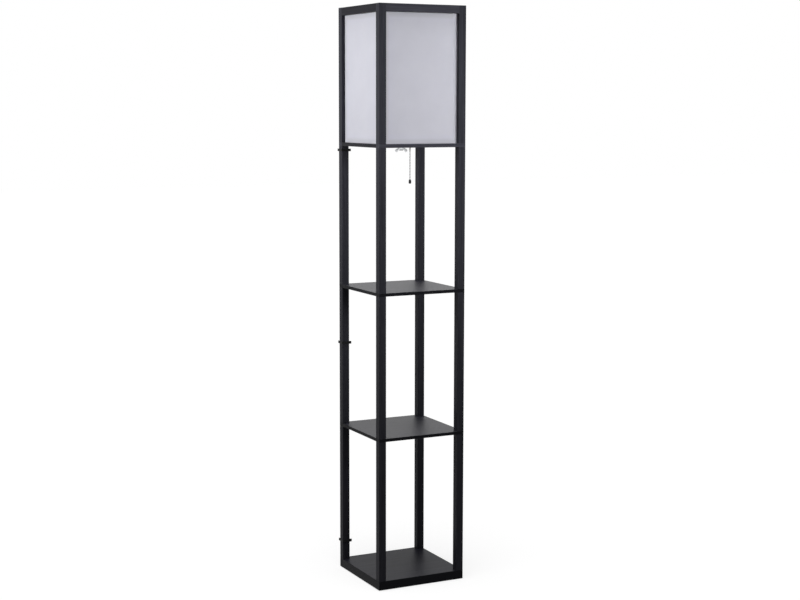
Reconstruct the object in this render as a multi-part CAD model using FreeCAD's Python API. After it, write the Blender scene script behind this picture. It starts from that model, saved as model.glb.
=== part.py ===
import FreeCAD, Part
import math
import os

from FreeCAD import Vector

# A square floor lamp with open shelves: a base board, three levels of four poles with a shelf
# between each level, and a shade box with four white panels on top. Sizes are in millimetres.
# The origin is on the floor under the middle of the base, +Z is up, and -Y is the front.

# Frame
side = 262.0                # outer width and depth of the whole lamp
pole_size = 21.0            # square section of the poles and shade posts
pole_length = 391.0         # each of the three equal pole levels
shade_post_length = 372.0
base_thick = 25.0
shelf_thick = 9.0
frame_thick = 10.0          # rails and bar that carry the shade
top_rail_height = 22.0
arris = 1.0                 # rounding along the edges of poles and rails
board_arris = 0.8           # rounding round the edges of the boards

# Felt pads under the base
pad_thick = 2.0
pad_radius = 12.5
pad_inset = 45.0            # from the pad's centre to the two nearest side faces

# Threaded joints between the pole levels
stud_radius = 3.0
stud_depth = 24.0           # in the end grain of the pole below
stud_grip = 12.0            # in the insert of the pole above
insert_radius = 5.0
insert_length = 15.0
insert_relief = 2.0         # hole left above an insert
thread_gap = 0.05           # between a thread and the hole it fills
board_hole_gap = 0.4        # between a stud and the board it passes through
thread_chamfer = 0.6
bolt_head_radius = 5.5
bolt_head_height = 4.0
bolt_socket = 4.0           # across the flats of the hexagon socket
bolt_socket_depth = 2.5
counterbore_gap = 1.0
counterbore_depth = 9.0

# Dowels
dowel_radius = 3.0
dowel_in_post = 12.0
dowel_in_rail = 18.0
dowel_step = 9.0            # height between the crossing dowels of one post
frame_dowel_radius = 2.5
frame_dowel_short = 6.0     # in the long rail, clear of the stud
frame_dowel_long = 16.0
bar_dowel_spacing = 22.0

# Shade panels and the strips behind them
panel_thick = 1.2
panel_setback = 10.0        # from the outer face of the posts to the panel
panel_gap = 0.3
strip_width = 8.0
strip_depth = 8.0

# Lamp bar and what clamps the lampholder to it
bar_width = 40.0
nipple_radius = 4.9
nipple_bore = 3.75
nipple_grip = 9.0           # in the lampholder
nipple_tail = 0.8           # past the wing nut
nipple_hole_gap = 0.3
washer_radius = 10.0
washer_thick = 1.2
hub_radius = 7.5
hub_foot_radius = 6.4
hub_height = 7.5
wing_span = 34.0
wing_drop = 15.2            # from the washer to the lowest point of the wings
wing_thick = 2.6
wing_tip_radius = 4.2
wing_seat_gap = 1.0         # from the washer to the wings' upper edge
wing_shoulder = 5.3         # radius where that edge starts to slope
wing_foot_rise = 0.6        # from the hub's foot to the wings' lower edge
wing_bush_gap = 0.5
wing_turn = -25.0           # degrees from the X axis
bush_flange_radius = 5.4
bush_flange_thick = 1.5
bush_bore = 3.0
bush_length = 8.0
bush_gap = 0.05

# Lampholder
holder_radius = 19.5
holder_wall = 2.2
holder_ledge = 1.5          # step that the contact block rests on
holder_neck_radius = 12.0
holder_neck_height = 3.0
holder_flare_height = 9.0
holder_height = 24.0
boss_radius = 8.5
boss_height = 10.0
block_thick = 7.0
block_gap = 0.3
skirt_height = 28.0
skirt_top_radius = 17.6
skirt_inner_radius = 14.8
skirt_lip = 1.2
lug_thick = 2.4
wire_hole_radius = 1.6
wire_hole_offset = 10.5

# Pull switch beside the lampholder
box_wall = 2.0
box_half_width = 8.0
box_hub_gap = 0.9           # from the lever's hub to the inner ends of the box walls
box_lever_gap = 1.4         # from the lever's end to the outer wall
bar_to_guide = 3.0          # from the edge of the bar to the chain guide
guide_wall = 1.0
guide_drop = 5.0            # below the holder's seat
guide_flare = 0.9
guide_collar = 1.0          # thickness of the collar under the box, and rise of the rim above it
guide_mouth = 1.6           # height of the flared mouth
guide_lip = 0.4
guide_fit_gap = 0.05        # between the tube and its hole in the box
lever_hub_radius = 2.6
lever_boss_gap = 1.9
lever_pivot_height = 11.0
lever_thick = 1.0
lever_half_width = 3.0
lever_overhang = 2.6        # past the chain
lever_slot = 1.8
lever_side_gap = 0.2
pin_radius = 1.25
pin_gap = 0.04
wheel_radius = 4.6
wheel_thick = 2.7
wheel_lobes = 4
wheel_notch_radius = 1.5
spring_thick = 0.3
spring_width = 4.0
spring_foot = 1.0           # from the pivot to the spring's foot
spring_reach = 0.45         # share of the lever's reach where the spring touches it
spring_bow = 3.0            # how far the bend stands out past that point
spring_knee = 2.0           # height of the bend above the floor

# Pull chain
chain_travel = 9.0
bead_radius = 1.6
bead_pitch = 4.25
bead_gap = 0.6              # between a bead and the guide
link_radius = 0.5
hook_pitch = 7.0            # from the bead on the lever to the next bead
running_gap = 0.3
stub_beads = 8
chain_beads = 21
coupling_reach = 6.0        # between the two beads that it holds
coupling_wall = 0.65
coupling_end = 0.45
coupling_gap = 0.25
coupling_mouth = 1.45
coupling_slit = 1.0
coupling_bevel = 0.5
bell_radius = 3.7
bell_top_radius = 2.7
bell_foot_radius = 3.3
bell_height = 11.0
bell_waist = 5.8            # from the bell's top to its widest part
bell_wall = 1.2
bell_hole_gap = 0.3

# Screw shell and bulb
thread_pitch = 3.63
cap_turns = 5
shell_turns = 7
cap_lead = 2                # turns from the foot of the shell to the first turn of the cap
thread_depth = 0.8
cap_radius = 13.1
cap_gap = 0.45
shell_wall = 0.4
shell_flange = 4.0
contact_thick = 0.6
contact_width = 7.0
contact_rise = 3.0
contact_reach = 8.4         # from the middle to the end of its foot
contact_bend = 4.0
contact_nose = 3.5
tip_radius = 4.5
tip_foot_radius = 2.7
tip_height = 1.6
tip_pin_radius = 1.0
tip_gap = 0.2               # insulating gap between the tip and the cap
cap_rim = 2.0               # plain rim above the thread
collar_neck = 0.9           # how far the collar's foot stands out past the cap
collar_flare = 1.6
collar_neck_height = 2.0
collar_height = 26.0
collar_radius = 23.0
collar_wall = 1.6
dome_radius = 30.0
dome_wall = 1.2
dome_rise = 17.0            # from the collar's rim to the widest part of the dome
dome_swell = 1.9            # how far the lower dome bows out past a straight cone

# Cable clips on the back left poles
clip_height = 7.0
clip_wall = 1.2
clip_gap = 0.15
clip_ring_bore = 3.2
clip_ring_wall = 1.2
clip_ring_inset = 3.0       # from the pole's outer corner to the middle of the ring
clip_mouth = 4.6
clip_head_width = 6.0
clip_head_depth = 6.3
clip_round = 1.5
low_clip_rise = 54.0        # above the base board
mid_clip_rise = 233.0       # above the lower shelf
top_clip_drop = 11.5        # below the shade frame

# Levels
base_z = pad_thick
deck_z = base_z + base_thick
lower_shelf_z = deck_z + pole_length
middle_z = lower_shelf_z + shelf_thick
upper_shelf_z = middle_z + pole_length
upper_z = upper_shelf_z + shelf_thick
frame_z = upper_z + pole_length
shade_z = frame_z + frame_thick
top_z = shade_z + shade_post_length
top_rail_z = top_z - top_rail_height

# Plan
half = side / 2
inner = half - pole_size            # inner face of the poles
pole_centre = half - pole_size / 2
corners = {
    "front_left": (-1, -1),
    "front_right": (1, -1),
    "back_right": (1, 1),
    "back_left": (-1, 1),
}
turns = {"front": 0, "right": 90, "back": 180, "left": 270}
axis_x = Vector(1, 0, 0)
axis_y = Vector(0, 1, 0)
axis_z = Vector(0, 0, 1)


def block(low, high):
    """A box between its lowest and highest corners."""
    return Part.makeBox(high[0] - low[0], high[1] - low[1], high[2] - low[2], Vector(*low))


def rod(radius, start, axis, length):
    return Part.makeCylinder(radius, length, Vector(*start), axis)


def turned(outline, x=0.0, y=0.0):
    """The solid that an outline of (radius, z) points sweeps round the vertical at x, y."""
    points = [Vector(r, 0, z) for r, z in outline]
    face = Part.Face(Part.makePolygon(points + points[:1]))
    return placed(face.revolve(Vector(), axis_z, 360), x, y)


def placed(shape, x=0.0, y=0.0, z=0.0):
    shape.translate(Vector(x, y, z))
    return shape


def about_z(shape, degrees):
    shape.rotate(Vector(), axis_z, degrees)
    return shape


def eased(shape, axes, radius):
    """The shape with its straight edges along the given axes rounded over."""
    edges = []
    for edge in shape.Edges:
        if any(abs(edge.tangentAt(edge.FirstParameter).dot(axis)) > 0.999 for axis in axes):
            edges.append(edge)
    return shape.makeFillet(radius, edges)


def save(name, *solids):
    """Writes one sub-part, with each of its solids kept separate."""
    shape = solids[0] if len(solids) == 1 else Part.makeCompound(list(solids))
    shape.exportStep(f"parts/{name}.step")


def at_corners(distance):
    return [(sx * distance, sy * distance) for sx, sy in corners.values()]


def board(z, thick):
    """A full-size board with its edges eased and a stud hole under each pole."""
    shape = eased(block((-half, -half, z), (half, half, z + thick)), (axis_x, axis_y, axis_z), board_arris)
    holes = [rod(stud_radius + board_hole_gap, (x, y, z), axis_z, thick) for x, y in at_corners(pole_centre)]
    return shape.cut(holes)


def square_pole(sx, sy, z, length):
    """One square wooden section at a corner, with the hole for its insert in the foot."""
    low = (sx * pole_centre - pole_size / 2, sy * pole_centre - pole_size / 2, z)
    high = (low[0] + pole_size, low[1] + pole_size, z + length)
    foot = (sx * pole_centre, sy * pole_centre, z)
    shape = eased(block(low, high), (axis_z,), arris)
    return shape.cut(rod(insert_radius + thread_gap, foot, axis_z, insert_length + insert_relief))


def threaded_rod(x, y, low, high):
    shape = rod(stud_radius, (x, y, low), axis_z, high - low)
    return shape.makeChamfer(thread_chamfer, [edge for edge in shape.Edges if edge.Closed])


def make_base():
    bore_radius = bolt_head_radius + counterbore_gap
    centres = at_corners(pole_centre)
    pockets = [rod(bore_radius, (x, y, base_z), axis_z, counterbore_depth) for x, y in centres]
    save("base_board", board(base_z, base_thick).cut(pockets))
    pads = [rod(pad_radius, (x, y, 0), axis_z, pad_thick) for x, y in at_corners(half - pad_inset)]
    save("felt_pads", *pads)
    save("base_bolts", *[base_bolt(x, y) for x, y in centres])


def base_bolt(x, y):
    """A socket-head bolt up through the base board into the insert of a lower pole."""
    seat = base_z + counterbore_depth
    head_z = seat - bolt_head_height
    head = rod(bolt_head_radius, (x, y, head_z), axis_z, bolt_head_height)
    across = bolt_socket / math.sqrt(3)
    hexagon = [Vector(across, 0, 0)]
    for corner in range(1, 6):
        angle = math.radians(60 * corner)
        hexagon.append(Vector(across * math.cos(angle), across * math.sin(angle), 0))
    socket = Part.Face(Part.makePolygon(hexagon + hexagon[:1])).extrude(axis_z * bolt_socket_depth)
    head = head.cut(placed(socket, x, y, head_z))
    return head.fuse(threaded_rod(x, y, seat - thread_chamfer, deck_z + stud_grip)).removeSplitter()


def make_poles():
    """Three levels of poles, each with a stud in its top, and an insert in every foot."""
    levels = {
        "lower": (deck_z, shelf_thick),
        "middle": (middle_z, shelf_thick),
        "upper": (upper_z, frame_thick),
    }
    studs = []
    inserts = []
    for level, (z, board_above) in levels.items():
        for corner, (sx, sy) in corners.items():
            x = sx * pole_centre
            y = sy * pole_centre
            joint = z + pole_length
            shape = square_pole(sx, sy, z, pole_length)
            hole = rod(stud_radius + thread_gap, (x, y, joint - stud_depth), axis_z, stud_depth)
            save(f"{level}_pole_{corner}", shape.cut(hole))
            studs.append(threaded_rod(x, y, joint - stud_depth, joint + board_above + stud_grip))
            inserts.append(insert(x, y, z))
    for x, y in at_corners(pole_centre):
        inserts.append(insert(x, y, shade_z))
    save("pole_studs", *studs)
    save("pole_inserts", *inserts)


def insert(x, y, z):
    body = rod(insert_radius, (x, y, z), axis_z, insert_length)
    return body.cut(rod(stud_radius + thread_gap, (x, y, z), axis_z, insert_length))


def make_shade_frame():
    """Four rails and the lamp bar between them, held by dowels, under the shade box."""
    top = frame_z + frame_thick
    front = eased(block((-half, -half, frame_z), (half, -inner, top)), (axis_x, axis_z), board_arris)
    right = eased(block((inner, -inner, frame_z), (half, inner, top)), (axis_y,), board_arris)
    bar_low = (-bar_width / 2, -inner, frame_z)
    bar = eased(block(bar_low, (bar_width / 2, inner, top)), (axis_y,), board_arris)
    bar = bar.cut(rod(nipple_radius + nipple_hole_gap, (0, 0, frame_z), axis_z, frame_thick))

    middle = frame_z + frame_thick / 2
    places = [-pole_centre, -bar_dowel_spacing / 2, bar_dowel_spacing / 2, pole_centre]
    dowels = [frame_dowel(x, middle, 0.0) for x in places]
    dowels += [about_z(frame_dowel(x, middle, 0.0), 180) for x in places]
    holes = [frame_dowel(x, middle, thread_gap) for x in places]
    holes += [about_z(frame_dowel(x, middle, thread_gap), 180) for x in places]
    for x in (-pole_centre, pole_centre):
        holes.append(rod(stud_radius + board_hole_gap, (x, -pole_centre, frame_z), axis_z, frame_thick))

    front = front.cut(holes)
    right = right.cut(holes)
    save("shade_frame_front", front)
    save("shade_frame_back", about_z(front.copy(), 180))
    save("shade_frame_right", right)
    save("shade_frame_left", about_z(right.copy(), 180))
    save("lamp_bar", bar.cut(holes))
    return dowels


def frame_dowel(x, z, gap):
    """A dowel along Y from the front rail into what butts against it, or its hole."""
    start = (x, -inner - frame_dowel_short, z)
    return rod(frame_dowel_radius + gap, start, axis_y, frame_dowel_short + frame_dowel_long)


def make_shade_box():
    """Four posts with a rail between each pair at the top, held by dowels."""
    dowels = [rail_dowel(name, 0.0, end) for name in turns for end in (-1, 1)]
    holes = [rail_dowel(name, thread_gap, end) for name in turns for end in (-1, 1)]
    for corner, (sx, sy) in corners.items():
        save(f"shade_post_{corner}", square_pole(sx, sy, shade_z, shade_post_length).cut(holes))
    for name, degrees in turns.items():
        rail = eased(block((-inner, -half, top_rail_z), (inner, -inner, top_z)), (axis_x,), arris)
        save(f"top_rail_{name}", about_z(rail, degrees).cut(holes))
    return dowels


def rail_dowel(name, gap, end):
    """A dowel between a top rail and a post, or its hole; neighbouring sides differ in height."""
    step = dowel_step / 2 if name in ("front", "back") else -dowel_step / 2
    z = (top_rail_z + top_z) / 2 + step
    length = dowel_in_post + dowel_in_rail
    start = (inner + dowel_in_post, -pole_centre, z)
    shape = rod(dowel_radius + gap, start, axis_x * -1, length)
    if end < 0:
        shape = shape.mirror(Vector(), axis_x)
    return about_z(shape, turns[name])


def make_panels():
    """A white panel in each side of the shade box, and the four strips behind it."""
    strips = []
    front_y = -half + panel_setback
    strip_y = front_y + panel_thick
    back_y = strip_y + strip_depth
    low = shade_z
    high = top_rail_z
    for name, degrees in turns.items():
        panel = block((-inner + panel_gap, front_y, low), (inner - panel_gap, strip_y, high - panel_gap))
        save(f"shade_panel_{name}", about_z(panel, degrees))
        for sign in (-1, 1):
            edges = sorted((sign * inner, sign * (inner - strip_width)))
            upright = block((edges[0], strip_y, low), (edges[1], back_y, high))
            strips.append(about_z(upright, degrees))
        span = inner - strip_width
        for z in (low, high - strip_width):
            strips.append(about_z(block((-span, strip_y, z), (span, back_y, z + strip_width)), degrees))
    save("panel_strips", *strips)


def make_clamp():
    """The hollow nipple through the lamp bar, with its washer, wing nut and cable bush."""
    washer_z = frame_z - washer_thick
    hub_z = washer_z - hub_height
    tail_z = hub_z - nipple_tail
    length = shade_z + nipple_grip - tail_z
    nipple = rod(nipple_radius, (0, 0, tail_z), axis_z, length)
    save("threaded_nipple", nipple.cut(rod(nipple_bore, (0, 0, tail_z), axis_z, length)))

    hole = rod(nipple_radius + nipple_hole_gap, (0, 0, washer_z), axis_z, washer_thick)
    save("bar_washer", rod(washer_radius, (0, 0, washer_z), axis_z, washer_thick).cut(hole))
    save("wing_nut", wing_nut(washer_z, hub_z))

    sleeve = nipple_bore - bush_gap
    flange_z = tail_z - bush_flange_thick
    outline = [
        (bush_bore, flange_z),
        (bush_flange_radius, flange_z),
        (bush_flange_radius, tail_z),
        (sleeve, tail_z),
        (sleeve, tail_z + bush_length),
        (bush_bore, tail_z + bush_length),
    ]
    save("nipple_bush", turned(outline))


def wing_nut(seat_z, hub_z):
    """A tapered hub with two round-ended wings that reach down and out."""
    hub = Part.makeCone(hub_foot_radius, hub_radius, hub_height, Vector(0, 0, hub_z))
    top_z = seat_z - wing_seat_gap
    foot_z = hub_z + wing_foot_rise
    shoulder = Vector(wing_shoulder, 0, top_z)
    root = Vector(bush_flange_radius + wing_bush_gap, 0, foot_z)
    tip = Vector(wing_span / 2 - wing_tip_radius, 0, seat_z - wing_drop + wing_tip_radius)
    upper = tangent_point(shoulder, tip, wing_tip_radius, 1)
    lower = tangent_point(root, tip, wing_tip_radius, -1)
    outward = (upper - tip) + (lower - tip)
    far = tip - outward.normalize() * wing_tip_radius
    edges = [
        Part.LineSegment(Vector(0, 0, top_z), shoulder).toShape(),
        Part.LineSegment(shoulder, upper).toShape(),
        Part.Arc(upper, far, lower).toShape(),
        Part.LineSegment(lower, root).toShape(),
        Part.LineSegment(root, Vector(0, 0, foot_z)).toShape(),
        Part.LineSegment(Vector(0, 0, foot_z), Vector(0, 0, top_z)).toShape(),
    ]
    wing = Part.Face(Part.Wire(edges)).extrude(axis_y * wing_thick)
    wing = placed(wing, 0, -wing_thick / 2)
    wings = wing.fuse(wing.mirror(Vector(), axis_x))
    bore = rod(nipple_radius + thread_gap, (0, 0, hub_z - wing_drop), axis_z, 2 * wing_drop)
    return about_z(hub.fuse(wings).cut(bore).removeSplitter(), wing_turn)


def tangent_point(start, centre, radius, side_sign):
    """Where a line from start touches a circle in the XZ plane, on the side that the sign picks."""
    line = centre - start
    heading = math.atan2(line.z, line.x)
    lean = math.acos(radius / line.Length)
    angle = heading + math.pi - side_sign * lean
    return centre + Vector(radius * math.cos(angle), 0, radius * math.sin(angle))


# Places that the pull switch and its chain share
holder_z = shade_z
guide_bore = bead_radius + bead_gap
guide_radius = guide_bore + guide_wall + guide_flare
chain_x = bar_width / 2 + bar_to_guide + guide_radius
pivot_x = boss_radius + lever_boss_gap + lever_hub_radius
pivot_z = holder_z + lever_pivot_height
lever_reach = chain_x - pivot_x
lever_tilt = math.atan2(chain_travel / 2, lever_reach)
chamber_half = box_half_width - box_wall
chamber_end = chain_x + lever_overhang + box_lever_gap
block_z = holder_z + holder_height - block_thick
rim_z = holder_z + holder_height
hook_z = pivot_z + lever_reach * math.tan(lever_tilt)
hook_z += (lever_thick / 2 + bead_radius + running_gap) / math.cos(lever_tilt)
stub_z = [hook_z] + [hook_z - hook_pitch - bead_pitch * n for n in range(stub_beads - 1)]
chain_z = [stub_z[-1] - coupling_reach - bead_pitch * n for n in range(chain_beads)]


def make_holder():
    """The lampholder: a cup with the switch box on its side, a contact block and a skirt."""
    inside = holder_radius - holder_wall
    ledge = inside - holder_ledge
    flare_z = holder_z + holder_flare_height
    neck_z = holder_z + holder_neck_height
    bore = nipple_radius + thread_gap
    outline = [
        (bore, holder_z),
        (holder_neck_radius, holder_z),
        (holder_neck_radius, neck_z),
        (holder_radius, flare_z),
        (holder_radius, rim_z),
        (inside, rim_z),
        (inside, block_z),
        (ledge, block_z),
        (ledge, flare_z + holder_wall),
        (holder_neck_radius - holder_wall, neck_z + holder_wall),
        (boss_radius, neck_z + holder_wall),
        (boss_radius, holder_z + boss_height),
        (bore, holder_z + boss_height),
    ]
    cup = turned(outline)
    box_start = pivot_x - lever_hub_radius - box_hub_gap
    outer = block((box_start, -box_half_width, holder_z), (chamber_end + box_wall, box_half_width, rim_z))
    outer = outer.cut(rod(inside, (0, 0, block_z), axis_z, holder_height))
    chamber_low = (box_start, -chamber_half, holder_z + box_wall)
    chamber = block(chamber_low, (chamber_end, chamber_half, rim_z))
    pin_hole = rod(pin_radius, (pivot_x, -box_half_width, pivot_z), axis_y, 2 * box_half_width)
    guide_hole = guide_bore + guide_wall + guide_fit_gap
    floor_hole = rod(guide_hole, (chain_x, 0, holder_z), axis_z, box_wall)
    save("holder_base", cup.fuse(outer).cut([chamber, pin_hole, floor_hole]).removeSplitter())

    disc = rod(inside - block_gap, (0, 0, block_z), axis_z, block_thick)
    for y in (-wire_hole_offset, wire_hole_offset):
        disc = disc.cut(rod(wire_hole_radius, (0, y, block_z), axis_z, block_thick))
    save("contact_block", disc)
    make_skirt()
    make_contact()


def make_skirt():
    """The outer shell above the cup, with a lug that closes the switch box."""
    top = rim_z + skirt_height
    outline = [
        (skirt_inner_radius, rim_z),
        (holder_radius, rim_z),
        (holder_radius, rim_z + lug_thick),
        (skirt_top_radius, top - skirt_lip),
        (skirt_top_radius - skirt_lip, top),
        (skirt_inner_radius, top),
    ]
    lug_low = ((skirt_inner_radius + skirt_top_radius) / 2, -box_half_width, rim_z)
    lug = block(lug_low, (chamber_end + box_wall, box_half_width, rim_z + lug_thick))
    save("holder_skirt", turned(outline).fuse(lug).removeSplitter())


def make_contact():
    """The centre contact, a bent brass tongue under the tip of the bulb."""
    foot = Vector(-contact_reach, 0, rim_z)
    bend = Vector(-contact_bend, 0, rim_z)
    rise = Vector(contact_nose, 0, rim_z + contact_rise - contact_thick)
    thick = axis_z * contact_thick
    points = [foot, bend, rise, rise + thick, bend + thick, foot + thick, foot]
    tongue = Part.Face(Part.makePolygon(points)).extrude(axis_y * contact_width)
    save("centre_contact", placed(tongue, 0, -contact_width / 2))


def make_switch():
    """The lever that the chain pulls, its pin, return spring and contact wheel."""
    hub_low = -chamber_half + lever_side_gap
    wheel_low = chamber_half - lever_side_gap - wheel_thick
    hub_length = wheel_low - lever_side_gap - hub_low
    hub = rod(lever_hub_radius, (0, hub_low, 0), axis_y, hub_length)
    reach = lever_reach + lever_overhang
    arm_low = (0, -lever_half_width, -lever_thick / 2)
    arm = block(arm_low, (reach, min(lever_half_width, hub_low + hub_length), lever_thick / 2))
    slot_low = (lever_reach - lever_slot, -lever_slot / 2, -lever_thick)
    slot = block(slot_low, (reach + lever_slot, lever_slot / 2, lever_thick))
    pin_clear = rod(pin_radius + pin_gap, (0, hub_low, 0), axis_y, hub_length)
    lever = hub.fuse(arm).cut([slot, pin_clear]).removeSplitter()
    lever.rotate(Vector(), axis_y, -math.degrees(lever_tilt))
    save("switch_lever", placed(lever, pivot_x, 0, pivot_z))

    pin = rod(pin_radius, (pivot_x, -box_half_width, pivot_z), axis_y, 2 * box_half_width)
    save("lever_pin", pin)
    save("contact_wheel", contact_wheel(wheel_low))
    save("lever_spring", leaf_spring())
    save("chain_guide", chain_guide())


def contact_wheel(low):
    """The indexing wheel on the lever's pin, with a round notch between its lobes."""
    centre = (pivot_x, low, pivot_z)
    wheel = rod(wheel_radius, centre, axis_y, wheel_thick)
    cuts = [rod(pin_radius + pin_gap, centre, axis_y, wheel_thick)]
    for lobe in range(wheel_lobes):
        angle = 2 * math.pi * lobe / wheel_lobes
        x = pivot_x + wheel_radius * math.cos(angle)
        z = pivot_z + wheel_radius * math.sin(angle)
        cuts.append(rod(wheel_notch_radius, (x, low, z), axis_y, wheel_thick))
    return wheel.cut(cuts)


def leaf_spring():
    """A bent strip from the floor of the switch box up to the underside of the lever."""
    floor = holder_z + box_wall
    touch_x = pivot_x + lever_reach * spring_reach
    under = pivot_z + (touch_x - pivot_x) * math.tan(lever_tilt)
    under -= (lever_thick / 2 + running_gap) / math.cos(lever_tilt) + spring_thick
    foot = Vector(pivot_x + spring_foot, 0, floor)
    heel = Vector(touch_x + spring_bow / 2, 0, floor)
    knee = Vector(touch_x + spring_bow, 0, floor + spring_knee)
    end = Vector(touch_x, 0, under)
    path = [foot, heel, knee, end]
    back = [point + Vector(-spring_thick, 0, spring_thick) for point in reversed(path[1:3])]
    points = path + [end + axis_z * spring_thick - axis_x * spring_thick] + back
    points += [foot + axis_z * spring_thick, foot]
    strip = Part.Face(Part.makePolygon(points)).extrude(axis_y * spring_width)
    return placed(strip, 0, -spring_width / 2)


def chain_guide():
    """The bell-mouthed tube that leads the chain out of the switch box."""
    tube = guide_bore + guide_wall
    mouth = holder_z - guide_drop
    outline = [
        (guide_bore, holder_z + box_wall + guide_collar),
        (tube, holder_z + box_wall + guide_collar),
        (tube, holder_z),
        (guide_radius, holder_z),
        (guide_radius, holder_z - guide_collar),
        (tube, holder_z - guide_mouth),
        (tube, mouth + guide_mouth),
        (guide_radius, mouth + guide_lip),
        (guide_radius - guide_lip, mouth),
        (guide_bore + guide_flare, mouth),
        (guide_bore, mouth + guide_mouth),
    ]
    return turned(outline, chain_x)


def bead_string(heights):
    """Round beads at the given heights, joined by thin links, as one turned solid."""
    lean = math.asin(link_radius / bead_radius)
    reach = bead_radius * math.cos(lean)
    top = Vector(0, 0, heights[0] + bead_radius)
    edges = []
    start = top
    for number, z in enumerate(heights):
        last = number == len(heights) - 1
        end = Vector(0, 0, z - bead_radius) if last else Vector(link_radius, 0, z - reach)
        edges.append(Part.Arc(start, Vector(bead_radius, 0, z), end).toShape())
        if not last:
            start = Vector(link_radius, 0, heights[number + 1] + reach)
            edges.append(Part.LineSegment(end, start).toShape())
    edges.append(Part.LineSegment(end, top).toShape())
    return placed(Part.Face(Part.Wire(edges)).revolve(Vector(), axis_z, 360), chain_x)


def make_chain():
    """The stub of chain on the lever, the coupling, the hanging chain and its bell."""
    save("chain_stub", bead_string(stub_z))
    save("bead_chain", bead_string(chain_z))
    save("chain_coupling", chain_coupling())
    save("chain_bell", chain_bell())


def chain_coupling():
    """A slit tube that holds the last bead of the stub and the first of the hanging chain."""
    bore = bead_radius + coupling_gap
    outer = bore + coupling_wall
    high = stub_z[-1] + bore
    low = chain_z[0] - bore
    bevel = outer - coupling_bevel
    outline = [
        (coupling_mouth, low - coupling_end),
        (bevel, low - coupling_end),
        (outer, low - coupling_end + coupling_bevel),
        (outer, high + coupling_end - coupling_bevel),
        (bevel, high + coupling_end),
        (coupling_mouth, high + coupling_end),
        (coupling_mouth, high),
        (bore, high),
        (bore, low),
        (coupling_mouth, low),
    ]
    tube = turned(outline, chain_x)
    length = high - low + 2 * coupling_end
    slit_low = (chain_x - coupling_slit / 2, 0, low - coupling_end)
    slit = block(slit_low, (chain_x + coupling_slit / 2, 2 * outer, slit_low[2] + length))
    return tube.cut(slit)


def chain_bell():
    """A small barrel-shaped weight, hollow from below, that hangs on the last bead."""
    bead = chain_z[-1]
    top = bead + bead_radius + bell_wall
    low = top - bell_height
    hole = link_radius + bell_hole_gap
    bore = bead_radius + bell_hole_gap
    shoulder = Vector(bell_top_radius, 0, top)
    waist = Vector(bell_radius, 0, top - bell_waist)
    rim = Vector(bell_foot_radius, 0, low)
    edges = [
        Part.LineSegment(Vector(hole, 0, top), shoulder).toShape(),
        Part.Arc(shoulder, waist, rim).toShape(),
        Part.LineSegment(rim, Vector(bore, 0, low)).toShape(),
        Part.LineSegment(Vector(bore, 0, low), Vector(bore, 0, top - bell_wall)).toShape(),
        Part.LineSegment(Vector(bore, 0, top - bell_wall), Vector(hole, 0, top - bell_wall)).toShape(),
        Part.LineSegment(Vector(hole, 0, top - bell_wall), Vector(hole, 0, top)).toShape(),
    ]
    return placed(Part.Face(Part.Wire(edges)).revolve(Vector(), axis_z, 360), chain_x)


def thread_wave(radius, z, turn_count):
    """Arcs up a rolled thread: out and in again once a pitch, from the given height."""
    quarter = thread_pitch / 4
    edges = []
    for step in range(2 * turn_count):
        low = z + step * 2 * quarter
        swell = thread_depth / 2 if step % 2 == 0 else -thread_depth / 2
        start = Vector(radius, 0, low)
        bulge = Vector(radius + swell, 0, low + quarter)
        end = Vector(radius, 0, low + 2 * quarter)
        edges.append(Part.Arc(start, bulge, end).toShape())
    return edges


def make_screw_shell():
    """The brass shell that the bulb screws into, with a flange on the contact block."""
    inside = cap_radius - thread_depth / 2 + cap_gap
    outside = inside + shell_wall
    low = rim_z + shell_wall
    high = low + shell_turns * thread_pitch
    inner_wave = thread_wave(inside, low, shell_turns)
    outer_wave = thread_wave(outside, low, shell_turns)
    flange = outside - shell_flange
    path = [
        Vector(outside, 0, low),
        Vector(outside, 0, rim_z),
        Vector(flange, 0, rim_z),
        Vector(flange, 0, low),
        Vector(inside, 0, low),
    ]
    lines = [Part.LineSegment(a, b).toShape() for a, b in zip(path, path[1:])]
    lip = Part.LineSegment(Vector(inside, 0, high), Vector(outside, 0, high)).toShape()
    face = Part.Face(Part.Wire(Part.__sortEdges__(lines + inner_wave + [lip] + outer_wave)))
    save("screw_shell", face.revolve(Vector(), axis_z, 360))


def make_bulb():
    """A bulb in the holder: metal cap with its tip, a plastic collar and an opal dome."""
    tip_z = rim_z + contact_rise + thread_gap
    tip_top = tip_z + tip_height
    cap_low = tip_top + tip_gap
    thread_low = rim_z + shell_wall + cap_lead * thread_pitch
    thread_top = thread_low + cap_turns * thread_pitch
    mean = cap_radius - thread_depth / 2
    rim = Vector(mean, 0, thread_top + cap_rim)
    path = [
        Vector(mean, 0, thread_top),
        rim,
        Vector(0, 0, rim.z),
        Vector(0, 0, cap_low),
        Vector(tip_radius + tip_gap, 0, cap_low),
        Vector(mean, 0, thread_low),
    ]
    lines = [Part.LineSegment(a, b).toShape() for a, b in zip(path, path[1:])]
    wire = Part.Wire(Part.__sortEdges__(lines + thread_wave(mean, thread_low, cap_turns)))
    cap = Part.Face(wire).revolve(Vector(), axis_z, 360)
    tip = turned([(0, tip_z), (tip_foot_radius, tip_z), (tip_radius, tip_top), (0, tip_top)])
    tip = tip.fuse(rod(tip_pin_radius, (0, 0, tip_top), axis_z, tip_gap)).removeSplitter()
    save("bulb_cap", cap, tip)

    collar_top = rim.z + collar_height
    collar = turned([
        (0, rim.z),
        (mean + collar_neck, rim.z),
        (mean + collar_flare, rim.z + collar_neck_height),
        (collar_radius, collar_top),
        (collar_radius - collar_wall, collar_top),
        (mean - collar_wall, rim.z + collar_wall),
        (0, rim.z + collar_wall),
    ])
    save("bulb_collar", collar)
    save("bulb_dome", bulb_dome(collar_top))


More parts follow.
